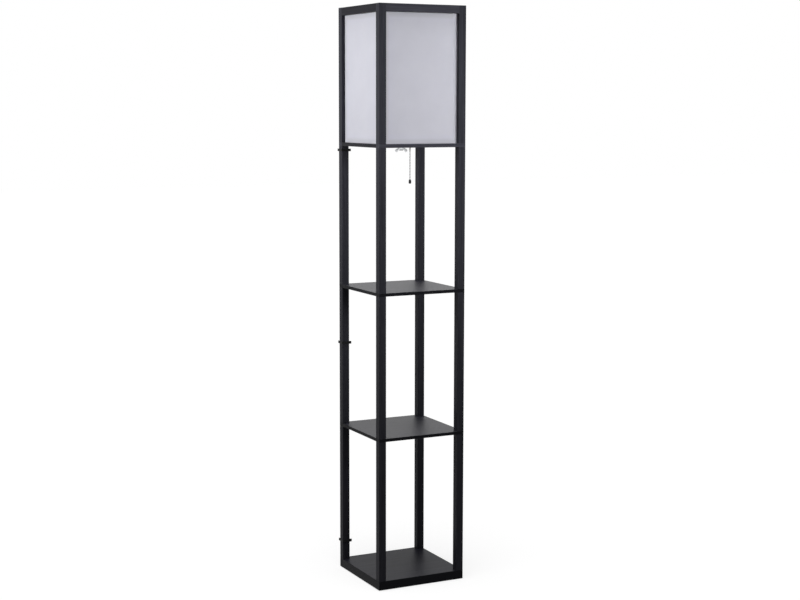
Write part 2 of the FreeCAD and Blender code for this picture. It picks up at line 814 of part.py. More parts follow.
def bulb_dome(rim_height):
    """The opal dome: a round shell that swells past the collar's rim and closes on top."""
    middle = rim_height + dome_rise
    edge_out = Vector(collar_radius, 0, rim_height)
    edge_in = Vector(collar_radius - dome_wall, 0, rim_height)
    wide_out = Vector(dome_radius, 0, middle)
    wide_in = Vector(dome_radius - dome_wall, 0, middle)
    top_out = Vector(0, 0, middle + dome_radius)
    top_in = Vector(0, 0, middle + dome_radius - dome_wall)
    lean = math.sqrt(0.5)
    mid_out = Vector(dome_radius * lean, 0, middle + dome_radius * lean)
    inner_radius = dome_radius - dome_wall
    mid_in = Vector(inner_radius * lean, 0, middle + inner_radius * lean)
    swell = Vector((collar_radius + dome_radius) / 2 + dome_swell, 0, rim_height + dome_rise / 2)
    swell_in = swell - axis_x * dome_wall
    edges = [
        Part.Arc(edge_out, swell, wide_out).toShape(),
        Part.Arc(wide_out, mid_out, top_out).toShape(),
        Part.LineSegment(top_out, top_in).toShape(),
        Part.Arc(top_in, mid_in, wide_in).toShape(),
        Part.Arc(wide_in, swell_in, edge_in).toShape(),
        Part.LineSegment(edge_in, edge_out).toShape(),
    ]
    return Part.Face(Part.Wire(edges)).revolve(Vector(), axis_z, 360)


def cable_clip(z):
    """A band round the back left pole with a split ring for the cable and a snap head."""
    hole = pole_size / 2 + clip_gap
    outer = hole + clip_wall
    band = eased(block((-outer, -outer, 0), (outer, outer, clip_height)), (axis_z,), clip_round)
    ring_radius = clip_ring_bore + clip_ring_wall
    ring_x = -pole_size / 2 + clip_ring_inset
    ring_y = hole + clip_ring_bore + clip_wall
    ring = rod(ring_radius, (ring_x, ring_y, 0), axis_z, clip_height)
    head_low = (hole, -hole - clip_wall, 0)
    head_high = (hole + clip_head_depth, -hole - clip_wall + clip_head_width, clip_height)
    head = eased(block(head_low, head_high), (axis_z,), clip_round)
    pole_hole = block((-hole, -hole, 0), (hole, hole, clip_height))
    cable = rod(clip_ring_bore, (ring_x, ring_y, 0), axis_z, clip_height)
    mouth_low = (ring_x - clip_mouth / 2, ring_y, 0)
    mouth = block(mouth_low, (ring_x + clip_mouth / 2, ring_y + 2 * ring_radius, clip_height))
    shape = band.fuse([ring, head]).cut([pole_hole, cable, mouth]).removeSplitter()
    return placed(shape, -pole_centre, pole_centre, z - clip_height / 2)


def main():
    os.makedirs("parts", exist_ok=True)
    make_base()
    make_poles()
    save("lower_shelf", board(lower_shelf_z, shelf_thick))
    save("upper_shelf", board(upper_shelf_z, shelf_thick))
    frame_dowels = make_shade_frame()
    save("dowels", *frame_dowels, *make_shade_box())
    make_panels()
    make_clamp()
    make_holder()
    make_switch()
    make_chain()
    make_screw_shell()
    make_bulb()
    heights = (deck_z + low_clip_rise, middle_z + mid_clip_rise, frame_z - top_clip_drop)
    save("cable_clips", *[cable_clip(z) for z in heights])
    print("height", top_z, "chain at x", round(chain_x, 3))
    print("pivot", round(pivot_x, 3), round(pivot_z, 3), "tilt", round(math.degrees(lever_tilt), 3))
    print("hinges at", round(stub_z[-1], 3), round(chain_z[0], 3), "bell bead", round(chain_z[-1], 3))
    print("lever ratio, rad per m", round(2000 * lever_tilt / chain_travel, 4))


main()
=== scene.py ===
import math

import bmesh
import bpy
import numpy as np
from mathutils import Matrix, Vector


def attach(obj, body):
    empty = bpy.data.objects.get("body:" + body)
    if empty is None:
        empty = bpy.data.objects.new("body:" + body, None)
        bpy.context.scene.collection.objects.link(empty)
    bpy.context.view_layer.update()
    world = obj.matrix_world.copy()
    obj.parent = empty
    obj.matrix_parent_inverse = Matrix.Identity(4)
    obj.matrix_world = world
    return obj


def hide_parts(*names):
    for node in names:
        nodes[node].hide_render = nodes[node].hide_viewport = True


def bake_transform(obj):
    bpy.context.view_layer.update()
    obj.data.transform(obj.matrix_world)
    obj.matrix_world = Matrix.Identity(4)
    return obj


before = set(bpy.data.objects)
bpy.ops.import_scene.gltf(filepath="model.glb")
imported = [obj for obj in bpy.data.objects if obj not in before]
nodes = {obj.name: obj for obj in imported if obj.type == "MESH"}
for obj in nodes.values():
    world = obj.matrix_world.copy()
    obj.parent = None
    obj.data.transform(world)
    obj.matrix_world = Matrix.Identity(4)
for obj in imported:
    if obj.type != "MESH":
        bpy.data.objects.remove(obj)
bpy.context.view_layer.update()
print("frame loaded:", len(nodes), "nodes")


viewSetup = {
    "cameraPlace": (-1.9364, -3.8881, 1.3341),  # metres
    "heading": 26.435,       # degrees from +Y towards +X
    "pitch": 6.868,          # degrees below the horizon
    "roll": 0.082,
    "focalPixels": 1558.77,
    "opticalRow": 292.0,     # row of the 800 by 600 image that the lens points at
    "imageSize": (800, 600),
    "sensorWidth": 36.0,
}


def makeCamera(setup):
    width, height = setup["imageSize"]
    data = bpy.data.cameras.new("camera")
    data.sensor_width = setup["sensorWidth"]
    data.lens = setup["focalPixels"] / width * setup["sensorWidth"]
    data.shift_y = (setup["opticalRow"] - height / 2) / width
    data.clip_end = 100
    camera = bpy.data.objects.new("camera", data)
    bpy.context.scene.collection.objects.link(camera)
    turn = Matrix.Rotation(-math.radians(setup["heading"]), 4, "Z")
    turn = turn @ Matrix.Rotation(math.radians(90 - setup["pitch"]), 4, "X")
    turn = turn @ Matrix.Rotation(math.radians(setup["roll"]), 4, "Z")
    camera.matrix_world = Matrix.Translation(setup["cameraPlace"]) @ turn
    bpy.context.scene.camera = camera


lightSetup = {
    "ambient": 0.14,          # strength of the sky as a light, where 1 would be white
    "topLight": {"strength": 1.6, "softness": 30.0, "from": (-0.10, -0.12, 1.0)},
    "softBoxes": {
        "left soft box": {"place": (-1.55, 0.02, 1.44), "aim": (0, 0, 1.44), "power": 2.7},
        "front soft box": {"place": (0.80, -1.60, 1.38), "aim": (0, 0, 1.38), "power": 3.15},
        "right fill": {"place": (1.60, 0.30, 1.42), "aim": (0, 0, 1.42), "power": 2.0},
        "back fill": {"place": (0.20, 1.65, 1.42), "aim": (0, 0, 1.42), "power": 1.9},
    },
    "boxSize": 0.65,
    "boxSpread": 64,
}


def aimAt(place, target):
    direction = Vector(target) - Vector(place)
    return Matrix.Translation(place) @ direction.to_track_quat("-Z", "Y").to_matrix().to_4x4()


def makeLights(setup):
    collection = bpy.context.scene.collection
    top = setup["topLight"]
    data = bpy.data.lights.new("top light", "SUN")
    data.energy = top["strength"]
    data.angle = math.radians(top["softness"])
    sun = bpy.data.objects.new("top light", data)
    sun.matrix_world = aimAt(top["from"], (0, 0, 0))
    collection.objects.link(sun)
    for name, box in setup["softBoxes"].items():
        data = bpy.data.lights.new(name, "AREA")
        data.shape = "SQUARE"
        data.size = setup["boxSize"]
        data.energy = box["power"]
        data.spread = math.radians(setup["boxSpread"])
        lamp = bpy.data.objects.new(name, data)
        lamp.matrix_world = aimAt(box["place"], box["aim"])
        lamp.visible_camera = False
        lamp.visible_glossy = False
        collection.objects.link(lamp)


def seenDirectly(tree):
    # 1 for camera, glossy and transmission rays, and 0 for the rest
    path = tree.nodes.new("ShaderNodeLightPath")
    total = path.outputs["Is Camera Ray"]
    for ray in ("Is Glossy Ray", "Is Transmission Ray"):
        either = tree.nodes.new("ShaderNodeMath")
        either.operation = "MAXIMUM"
        tree.links.new(total, either.inputs[0])
        tree.links.new(path.outputs[ray], either.inputs[1])
        total = either.outputs[0]
    return total


def makeWorld(setup):
    # white where the camera, or a reflection, looks past the lamp, and dimmer as a light
    world = bpy.data.worlds.new("studio")
    bpy.context.scene.world = world
    world.use_nodes = True
    tree = world.node_tree
    tree.nodes.clear()
    strength = tree.nodes.new("ShaderNodeMapRange")
    strength.inputs["To Min"].default_value = setup["ambient"]
    strength.inputs["To Max"].default_value = 1.0
    tree.links.new(seenDirectly(tree), strength.inputs["Value"])
    sky = tree.nodes.new("ShaderNodeBackground")
    sky.inputs["Color"].default_value = (1, 1, 1, 1)
    tree.links.new(strength.outputs[0], sky.inputs["Strength"])
    output = tree.nodes.new("ShaderNodeOutputWorld")
    tree.links.new(sky.outputs[0], output.inputs[0])


floorSetup = {
    "halfSize": 20.0,
    "bounce": 0.10,      # how much light the floor sends back to the lamp
    "paper": 0.34,       # the part of its white that the lamps light, and that a shadow takes away
    "glow": 0.80,        # the rest of its white
}


def makeFloor(setup):
    half = setup["halfSize"]
    corners = [(-half, -half, 0), (half, -half, 0), (half, half, 0), (-half, half, 0)]
    mesh = bpy.data.meshes.new("floor")
    mesh.from_pydata(corners, [], [(0, 1, 2, 3)])
    floor = bpy.data.objects.new("floor", mesh)
    bpy.context.scene.collection.objects.link(floor)
    material = bpy.data.materials.new("floor paper")
    material.use_nodes = True
    tree = material.node_tree
    tree.nodes.clear()
    seen = seenDirectly(tree)
    colour = tree.nodes.new("ShaderNodeMapRange")
    colour.inputs["To Min"].default_value = setup["bounce"]
    colour.inputs["To Max"].default_value = setup["paper"]
    tree.links.new(seen, colour.inputs["Value"])
    matte = tree.nodes.new("ShaderNodeBsdfDiffuse")
    tree.links.new(colour.outputs[0], matte.inputs["Color"])
    share = tree.nodes.new("ShaderNodeMath")
    share.operation = "MULTIPLY"
    share.inputs[1].default_value = setup["glow"]
    tree.links.new(seen, share.inputs[0])
    glow = tree.nodes.new("ShaderNodeEmission")
    glow.inputs["Color"].default_value = (1, 1, 1, 1)
    tree.links.new(share.outputs[0], glow.inputs["Strength"])
    both = tree.nodes.new("ShaderNodeAddShader")
    tree.links.new(matte.outputs[0], both.inputs[0])
    tree.links.new(glow.outputs[0], both.inputs[1])
    output = tree.nodes.new("ShaderNodeOutputMaterial")
    tree.links.new(both.outputs[0], output.inputs[0])
    mesh.materials.append(material)


bpy.context.scene.view_settings.view_transform = "Standard"
makeCamera(viewSetup)
makeLights(lightSetup)
makeWorld(lightSetup)
makeFloor(floorSetup)
print("camera, lights and floor made")


def newFinish(name, **settings):
    # a material with one principled shader, whose plain settings go on its own sockets
    material = bpy.data.materials.new(name)
    material.use_nodes = True
    tree = material.node_tree
    tree.nodes.clear()
    shader = tree.nodes.new("ShaderNodeBsdfPrincipled")
    output = tree.nodes.new("ShaderNodeOutputMaterial")
    tree.links.new(shader.outputs[0], output.inputs[0])
    for socket, value in settings.items():
        shader.inputs[socket.replace("_", " ")].default_value = value
    return material, tree, shader


def placeOn(tree, stretch=(1, 1, 1), centre=(0, 0, 0)):
    # object coordinates in millimetres from a centre, stretched along an axis
    coordinates = tree.nodes.new("ShaderNodeTexCoord")
    mapping = tree.nodes.new("ShaderNodeMapping")
    mapping.inputs["Scale"].default_value = [1000 * share for share in stretch]
    mapping.inputs["Location"].default_value = [-share * c for share, c in zip(stretch, centre)]
    tree.links.new(coordinates.outputs["Object"], mapping.inputs["Vector"])
    return mapping.outputs[0]


def cloudOf(tree, place, size, detail=3.0, rough=0.5, warp=0.0):
    # soft noise whose blobs are about size millimetres wide
    noise = tree.nodes.new("ShaderNodeTexNoise")
    noise.inputs["Scale"].default_value = 1 / size
    noise.inputs["Detail"].default_value = detail
    noise.inputs["Roughness"].default_value = rough
    noise.inputs["Distortion"].default_value = warp
    tree.links.new(place, noise.inputs["Vector"])
    return noise.outputs["Fac"]


def stretchRange(tree, value, fromRange, toRange, smooth=False):
    ranger = tree.nodes.new("ShaderNodeMapRange")
    ranger.interpolation_type = "SMOOTHSTEP" if smooth else "LINEAR"
    ranger.inputs["From Min"].default_value, ranger.inputs["From Max"].default_value = fromRange
    ranger.inputs["To Min"].default_value, ranger.inputs["To Max"].default_value = toRange
    tree.links.new(value, ranger.inputs["Value"])
    return ranger.outputs["Result"]


def blendColours(tree, share, first, second):
    mix = tree.nodes.new("ShaderNodeMix")
    mix.data_type = "RGBA"
    tree.links.new(share, mix.inputs["Factor"])
    for index, colour in ((6, first), (7, second)):
        if isinstance(colour, bpy.types.NodeSocket):
            tree.links.new(colour, mix.inputs[index])
        else:
            mix.inputs[index].default_value = (*colour, 1)
    return mix.outputs[2]


def reckon(tree, operation, *values):
    # a sum, product or other piece of arithmetic on sockets and numbers
    step = tree.nodes.new("ShaderNodeMath")
    step.operation = operation
    for index, value in enumerate(values):
        if isinstance(value, bpy.types.NodeSocket):
            tree.links.new(value, step.inputs[index])
        else:
            step.inputs[index].default_value = value
    return step.outputs[0]


def roughen(tree, shader, height, depth, strength=1.0):
    # bump of the given depth in millimetres
    bump = tree.nodes.new("ShaderNodeBump")
    bump.inputs["Distance"].default_value = depth / 1000
    bump.inputs["Strength"].default_value = strength
    tree.links.new(height, bump.inputs["Height"])
    tree.links.new(bump.outputs[0], shader.inputs["Normal"])


def axesOf(tree, place):
    split = tree.nodes.new("ShaderNodeSeparateXYZ")
    tree.links.new(place, split.inputs[0])
    return split.outputs


foilLook = {
    "dark": (0.026, 0.026, 0.0325),
    "light": (0.053, 0.053, 0.0655),
    "worn": (0.085, 0.085, 0.095),
    "wear": (0.15, 0.60),    # least and most of the worn tone on an arris
    "patch": 2.5,            # width of the worn patches, millimetres
    "patchFrom": (0.40, 0.62),
    "specular": 0.03,
    "roughness": (0.38, 0.46),
    "drawnOut": 0.03,        # the pattern's scale along the grain, against 1 across it
    "streak": 1.1,           # width of the fine grain, millimetres
    "streakShare": 0.55,     # the rest of the tone comes from the bands
    "band": 9.0,             # width of the slow change of tone
    "tones": (0.36, 0.66),   # values of the noise that give the dark and the light tone
    "pore": 0.6,
    "poreFrom": (0.60, 0.72),  # values of the noise between which a pore deepens
    "poreShade": 0.55,
    "depth": 0.03,           # of the relief, millimetres
    "relief": 0.6,           # how strongly it shows
}
# lit and shaded copies of the post foil: the front and back rails painted lighter, the side rails
# and lamp bar painted darker
litCrossLook = {**foilLook, "dark": (0.042, 0.042, 0.053), "light": (0.078, 0.078, 0.096)}
shadedDepthLook = {**foilLook, "dark": (0.014, 0.014, 0.0172), "light": (0.028, 0.028, 0.0345)}
shelfLook = {
    **foilLook,
    "dark": (0.009, 0.009, 0.0135),
    "light": (0.020, 0.020, 0.0285),
    "rim": (0.012, 0.012, 0.015),
    "half": 131.0,           # millimetres from the middle of a board to its edge
    "rimWidth": (0.8, 1.3),  # the banding gives way to the face between these
    "gloss": 1.0,            # weight of the satin coat on the lightest grain of the flat faces
    "leastGloss": 0.8,       # its share on the darkest
    "glossIndex": 1.25,
    "glossRoughness": 0.48,
}
# painted shade: the base board takes the shelves' foil with its coat cut to a third, a darker copy
# as if less light reached it
shadedDeckLook = {**shelfLook, "gloss": 0.33}


def facing(tree):
    # how far a face looks along each of the object's own axes, as three numbers from 0 to 1
    normal = tree.nodes.new("ShaderNodeTexCoord").outputs["Normal"]
    return [reckon(tree, "ABSOLUTE", axis) for axis in axesOf(tree, normal)]


def onArris(tree, ways):
    # 0 on a flat face that looks along one axis, and up to 1 on the rounding between two of them
    total = reckon(tree, "ADD", reckon(tree, "ADD", ways[0], ways[1]), ways[2])
    most = reckon(tree, "MAXIMUM", reckon(tree, "MAXIMUM", ways[0], ways[1]), ways[2])
    rest = reckon(tree, "SUBTRACT", total, most)
    return stretchRange(tree, rest, (0.20, 0.65), (0, 1), True)


def onBoardFace(tree, ways, look):
    # 1 on a board's top and underside, and 0 on the banding round its edge
    x, y, _ = axesOf(tree, placeOn(tree))
    out = reckon(tree, "MAXIMUM", reckon(tree, "ABSOLUTE", x), reckon(tree, "ABSOLUTE", y))
    border = [look["half"] - width for width in look["rimWidth"]]
    inside = stretchRange(tree, out, border, (0, 1), True)
    level = stretchRange(tree, ways[2], (0.4, 0.9), (0, 1), True)
    return reckon(tree, "MULTIPLY", level, inside)


def blackFoil(name, grain, look):
    # black wood-grain foil: long fine streaks along the grain, dark pores, a slow change of tone,
    # and arrises worn paler in patches
    material, tree, shader = newFinish(name, Specular_IOR_Level=look["specular"])
    place = placeOn(tree, [look["drawnOut"] if axis == grain else 1 for axis in "XYZ"])
    streaks = cloudOf(tree, place, look["streak"], 4, 0.6, 0.4)
    bands = cloudOf(tree, place, look["band"], 2, 0.5, 0.8)
    pores = cloudOf(tree, place, look["pore"], 2, 0.5)
    pores = stretchRange(tree, pores, look["poreFrom"], (0, 1), True)
    share = look["streakShare"]
    tone = reckon(tree, "MULTIPLY_ADD", streaks, share, reckon(tree, "MULTIPLY", bands, 1 - share))
    paleness = stretchRange(tree, tone, look["tones"], (0, 1))
    colour = blendColours(tree, paleness, look["dark"], look["light"])
    shade = reckon(tree, "MULTIPLY", pores, look["poreShade"])
    colour = blendColours(tree, shade, colour, look["dark"])
    ways = facing(tree)
    if "rim" in look:
        # the banding is a duller, darker strip without the coat
        face = onBoardFace(tree, ways, look)
        colour = blendColours(tree, face, look["rim"], colour)
        shader.inputs["Coat IOR"].default_value = look["glossIndex"]
        shader.inputs["Coat Roughness"].default_value = look["glossRoughness"]
        gloss = look["gloss"]
        sheen = stretchRange(tree, tone, (0.3, 0.7), (look["leastGloss"] * gloss, gloss))
        tree.links.new(reckon(tree, "MULTIPLY", face, sheen), shader.inputs["Coat Weight"])
    patches = cloudOf(tree, place, look["patch"], 3)
    patches = stretchRange(tree, patches, look["patchFrom"], look["wear"])
    wear = reckon(tree, "MULTIPLY", onArris(tree, ways), patches)
    colour = blendColours(tree, wear, colour, look["worn"])
    tree.links.new(colour, shader.inputs["Base Color"])
    roughness = stretchRange(tree, streaks, (0.3, 0.7), look["roughness"])
    tree.links.new(roughness, shader.inputs["Roughness"])
    height = reckon(tree, "SUBTRACT", reckon(tree, "MULTIPLY", streaks, 0.4), pores)
    roughen(tree, shader, height, look["depth"], look["relief"])
    return material


def dress(names, material):
    for name in names:
        mesh = nodes[name].data
        mesh.materials.clear()
        mesh.materials.append(material)


uprightFoil = blackFoil("upright foil", "Z", foilLook)
# the rails' foils are the lit and shaded copies, with the grain along each rail
litCrossFoil = blackFoil("lit cross foil", "X", litCrossLook)
shadedDepthFoil = blackFoil("shaded depth foil", "Y", shadedDepthLook)
shelfFoil = blackFoil("shelf foil", "X", shelfLook)
shadedDeckFoil = blackFoil("shaded deck foil", "X", shadedDeckLook)
dress([name for name in nodes if "_pole_" in name or "_post_" in name], uprightFoil)
dress(["lower_shelf", "upper_shelf"], shelfFoil)
# the base board in the copy of the shelf foil whose weaker coat paints shade
dress(["base_board"], shadedDeckFoil)
# front and back rails in the copy painted lighter, side rails and lamp bar in the copy painted
# darker
for rail in ("shade_frame", "top_rail"):
    dress([f"{rail}_front", f"{rail}_back"], litCrossFoil)
    dress([f"{rail}_left", f"{rail}_right"], shadedDepthFoil)
dress(["lamp_bar"], shadedDepthFoil)


def glowsInside(weight, reach):
    # settings of a milky material, in which light travels reach metres
    return {
        "Subsurface_Weight": weight,
        "Subsurface_Radius": (reach, reach, reach),
        "Subsurface_Scale": 1.0,
    }


panelLook = {
    "colour": (0.755, 0.755, 0.905),
    "tinted": (0.735, 0.735, 0.882),
    "stripShade": (0.670, 0.670, 0.780),   # painted shade where a strip lies behind the sheet
    "edge": (0.600, 0.600, 0.700),     # painted shadow next to the frame, in the recess
    "roughness": 0.55,
    "specular": 0.3,
    "translucence": 0.8,
    "scatter": 0.006,        # metres that light travels inside the sheet
    "halfWidth": 109.7,      # millimetres, as are all below
    "low": 1228.0,
    "high": 1577.7,
    "strip": 8.0,
    "stripShadeBlur": (9.0, -2.0),  # past the strip's edge, where its painted shade starts and is whole
    # width of the painted shadow next to the frame, millimetres
    "frameShadowWidth": 5.0,
    "cloud": 60.0,
    "fibre": 1.6,
    "fibreDepth": 0.02,
}


def toSheetEdge(tree, look):
    # distance to a panel's nearest edge: the sheet stands far out along one level axis, so the
    # smaller of the two is the place along it
    x, y, z = axesOf(tree, placeOn(tree))
    along = reckon(tree, "MINIMUM", reckon(tree, "ABSOLUTE", x), reckon(tree, "ABSOLUTE", y))
    sideways = reckon(tree, "SUBTRACT", look["halfWidth"], along)
    upDown = reckon(tree, "MINIMUM", reckon(tree, "SUBTRACT", z, look["low"]),
                    reckon(tree, "SUBTRACT", look["high"], z))
    return reckon(tree, "MINIMUM", sideways, upDown)


def whitePlasticSheet(name, look):
    # milky sheet, faintly cloudy, with a fine fibre, painted shade where strips lie behind it, and
    # a painted shadow next to the frame
    material, tree, shader = newFinish(
        name, Roughness=look["roughness"], Specular_IOR_Level=look["specular"],
        **glowsInside(look["translucence"], look["scatter"]))
    place = placeOn(tree)
    cloud = stretchRange(tree, cloudOf(tree, place, look["cloud"], 2), (0.35, 0.65), (0, 1))
    colour = blendColours(tree, cloud, look["colour"], look["tinted"])
    edge = toSheetEdge(tree, look)
    # painted shade over the strips behind the sheet
    blur = [look["strip"] + width for width in look["stripShadeBlur"]]
    stripShade = stretchRange(tree, edge, blur, (0, 1), True)
    colour = blendColours(tree, stripShade, colour, look["stripShade"])
    # painted shadow along the frame, darkest at the sheet's edge
    frameShadow = stretchRange(tree, edge, (look["frameShadowWidth"], 0), (0, 1), True)
    colour = blendColours(tree, frameShadow, colour, look["edge"])
    tree.links.new(colour, shader.inputs["Base Color"])
    fibre = cloudOf(tree, place, look["fibre"], 4, 0.6)
    roughen(tree, shader, fibre, look["fibreDepth"], 0.5)
    return material


whitePanel = whitePlasticSheet("white panel", panelLook)
dress([name for name in nodes if name.startswith("shade_panel")], whitePanel)


def speckled(name, dark, light, size, roughness, depth, stretch=(1, 1, 1), **settings):
    # two tones and a range of roughness that follow one soft noise, whose grain is size millimetres
    # wide, and a shallow bump of the same grain, depth millimetres deep
    material, tree, shader = newFinish(name, **settings)
    place = placeOn(tree, stretch)
    broad = cloudOf(tree, place, size * 6, 2)
    fine = cloudOf(tree, place, size, 4, 0.6)
    tone = reckon(tree, "MULTIPLY_ADD", fine, 0.6, reckon(tree, "MULTIPLY", broad, 0.4))
    colour = blendColours(tree, stretchRange(tree, tone, (0.35, 0.65), (0, 1)), dark, light)
    tree.links.new(colour, shader.inputs["Base Color"])
    tree.links.new(stretchRange(tree, tone, (0.3, 0.7), roughness), shader.inputs["Roughness"])
    roughen(tree, shader, fine, depth, 0.6)
    return material


# each with its dark and light tone, grain, range of roughness and depth
blackFelt = speckled(
    "black felt", (0.008, 0.008, 0.009), (0.035, 0.035, 0.038),
    0.5, (0.9, 1.0), 0.4, Specular_IOR_Level=0.1, Sheen_Weight=0.4, Sheen_Roughness=0.5)
darkSteel = speckled(
    "blackened steel", (0.035, 0.034, 0.034), (0.07, 0.068, 0.066),
    0.4, (0.35, 0.55), 0.02, Metallic=1.0)
zincSteel = speckled(
    "zinc steel", (0.74, 0.75, 0.76), (0.88, 0.89, 0.90),
    0.8, (0.26, 0.44), 0.02, Metallic=1.0)
beechWood = speckled(
    "beech", (0.40, 0.25, 0.13), (0.60, 0.41, 0.24),
    0.5, (0.55, 0.7), 0.05, stretch=(0.08, 1, 1), Specular_IOR_Level=0.3)
whiteStrip = speckled(
    "white strip", (0.70, 0.70, 0.72), (0.78, 0.78, 0.80),
    1.0, (0.5, 0.6), 0.03, Specular_IOR_Level=0.3)
blackNylon = speckled(
    "black nylon", (0.006, 0.006, 0.007), (0.014, 0.014, 0.015),
    0.35, (0.42, 0.60), 0.03, Specular_IOR_Level=0.12)
blackPhenolic = speckled(
    "black phenolic", (0.008, 0.007, 0.007), (0.018, 0.016, 0.015),
    0.5, (0.16, 0.30), 0.01, Specular_IOR_Level=0.5)
paleSteatite = speckled(
    "steatite", (0.66, 0.62, 0.54), (0.78, 0.75, 0.68),
    0.6, (0.35, 0.55), 0.03)
rolledBrass = speckled(
    "rolled brass", (0.62, 0.42, 0.16), (0.78, 0.57, 0.26),
    0.7, (0.22, 0.40), 0.01, Metallic=1.0)
brightNickel = speckled(
    "bright nickel", (0.48, 0.47, 0.45), (0.62, 0.61, 0.59),
    0.5, (0.14, 0.32), 0.01, Metallic=1.0)
chainNickel = speckled(
    "chain nickel", (0.14, 0.14, 0.145), (0.26, 0.26, 0.265),
    0.5, (0.24, 0.42), 0.02, Metallic=1.0)
whiteMould = speckled(
    "white moulding", (0.76, 0.76, 0.75), (0.84, 0.84, 0.83),
    0.8, (0.32, 0.45), 0.02, **glowsInside(0.2, 0.002))
opalGlass = speckled(
    "opal glass", (0.85, 0.85, 0.83), (0.88, 0.88, 0.87),
    3.0, (0.22, 0.32), 0.01, **glowsInside(0.6, 0.004))
blackLacquer = speckled(
    "black lacquer", (0.006, 0.006, 0.007), (0.014, 0.014, 0.015),
    0.4, (0.24, 0.38), 0.01, Specular_IOR_Level=0.25)
blackGlass = speckled(
    "black glass", (0.004, 0.004, 0.005), (0.012, 0.010, 0.012),
    0.6, (0.08, 0.2), 0.01)
solder = speckled(
    "solder", (0.42, 0.42, 0.43), (0.62, 0.62, 0.63),
    0.4, (0.25, 0.5), 0.06, Metallic=1.0)

dress(["base_bolts"], darkSteel)
dress(["pole_studs", "pole_inserts", "bar_washer"], zincSteel)
dress(["dowels"], beechWood)
dress(["panel_strips"], whiteStrip)
dress(["cable_clips", "nipple_bush"], blackNylon)
dress(["holder_base", "holder_skirt"], blackPhenolic)
dress(["contact_block"], paleSteatite)
dress(["centre_contact"], rolledBrass)
dress(["chain_guide", "lever_pin", "switch_lever"], brightNickel)
dress(["contact_wheel"], whiteMould)
print("finishes made")


def gridFaces(rows, columns, wrapRows, wrapColumns, first):
    # every cell of a grid of points as a quad, also from the last row or column back to the first
    # where it wraps
    row = np.arange(rows if wrapRows else rows - 1)[:, None]
    column = np.arange(columns if wrapColumns else columns - 1)[None, :]
    nextRow = (row + 1) % rows
    nextColumn = (column + 1) % columns
    corners = np.broadcast_arrays(
        row * columns + column, row * columns + nextColumn,
        nextRow * columns + nextColumn, nextRow * columns + column)
    return first + np.stack(corners, axis=-1).reshape(-1, 4)


weldDistance = 2e-6   # metres


def makePiece(name, surfaces, finish, body, replaced, sharp=35):
    # one mesh from grids of points in millimetres, with doubled points merged so that seams and
    # poles close, and edges sharper than so many degrees kept crisp. A piece that bends has no
    # single body to ride on
    points = []
    faces = []
    count = 0
    for grid, wrapRows, wrapColumns in surfaces:
        rows, columns = grid.shape[:2]
        faces.append(gridFaces(rows, columns, wrapRows, wrapColumns, count))
        points.append(grid.reshape(-1, 3) / 1000)
        count += rows * columns
    mesh = bpy.data.meshes.new(name)
    mesh.from_pydata(np.concatenate(points).tolist(), [], np.concatenate(faces).tolist())
    welded = bmesh.new()
    welded.from_mesh(mesh)
    bmesh.ops.remove_doubles(welded, verts=welded.verts, dist=weldDistance)
    welded.to_mesh(mesh)
    welded.free()
    mesh.polygons.foreach_set("use_smooth", np.ones(len(mesh.polygons), dtype=bool))
    mesh.set_sharp_from_angle(angle=math.radians(sharp))
    mesh.materials.append(finish)
    piece = bpy.data.objects.new(name, mesh)
    bpy.context.scene.collection.objects.link(piece)
    if body:
        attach(piece, body)
    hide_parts(*replaced)
    return piece


def carryRound(radius, height, columns=64, centre=(0, 0)):
    # a profile of radius and height carried round an upright axis: x = r cos a, y = r sin a, where
    # the radius may differ with the angle too
    angle = np.linspace(0, 2 * np.pi, columns, endpoint=False)
    radius = np.asarray(radius, float).reshape(len(height), -1)
    radius = np.broadcast_to(radius, (len(height), columns))
    height = np.broadcast_to(np.asarray(height, float)[:, None], radius.shape)
    x = centre[0] + radius * np.cos(angle)
    y = centre[1] + radius * np.sin(angle)
    return np.stack([x, y, height], axis=-1)


def easeCorners(outline, ease, steps=5):
    # each corner of a closed outline becomes a small parabola from one side to the other, which
    # starts and ends `ease` away from the corner and takes less than half of a side
    corner = np.asarray(outline, float)
    toBefore = np.roll(corner, 1, axis=0) - corner
    toAfter = np.roll(corner, -1, axis=0) - corner
    lengths = [np.linalg.norm(way, axis=1)[:, None] for way in (toBefore, toAfter)]
    ease = np.broadcast_to(np.asarray(ease, float), len(corner))[:, None]
    most = 0.48
    start = corner + toBefore * np.minimum(ease / lengths[0], most)
    end = corner + toAfter * np.minimum(ease / lengths[1], most)
    share = np.linspace(0, 1, steps)[None, :, None]
    near, middle, far = (1 - share) ** 2, 2 * share * (1 - share), share**2
    curve = near * start[:, None] + middle * corner[:, None] + far * end[:, None]
    return curve.reshape(-1, 2)


def arcThrough(first, middle, last, steps):
    # points on the circle through three points of a plane, as complex numbers: the centre is where
    # the perpendicular bisectors meet, and the angle runs evenly from the first point to the last
    a, b, c = (complex(*point) for point in (first, middle, last))
    w = (c - a) / (b - a)
    centre = (b - a) * (w - abs(w) ** 2) / (2j * w.imag) + a
    radius = abs(a - centre)
    startAngle, midAngle, endAngle = np.unwrap(np.angle([a - centre, b - centre, c - centre]))
    angle = np.linspace(startAngle, endAngle, steps)
    arc = centre + radius * (np.cos(angle) + 1j * np.sin(angle))
    return np.stack([arc.real, arc.imag], axis=-1)


nippleSizes = {
    "radius": 4.9,
    "bore": 3.75,
    "low": 1208.5,
    "high": 1237.0,
    "pitch": 1.0,
    "threadDepth": 0.5,
    "flank": 1.25,          # steepness of the thread's sides, where 1 would leave no flats
    "crest": 0.1,           # how much of the ramp the flat crest takes
    "chamfer": 0.6,
    "rowsPerTurn": 8,
    "columns": 48,
}


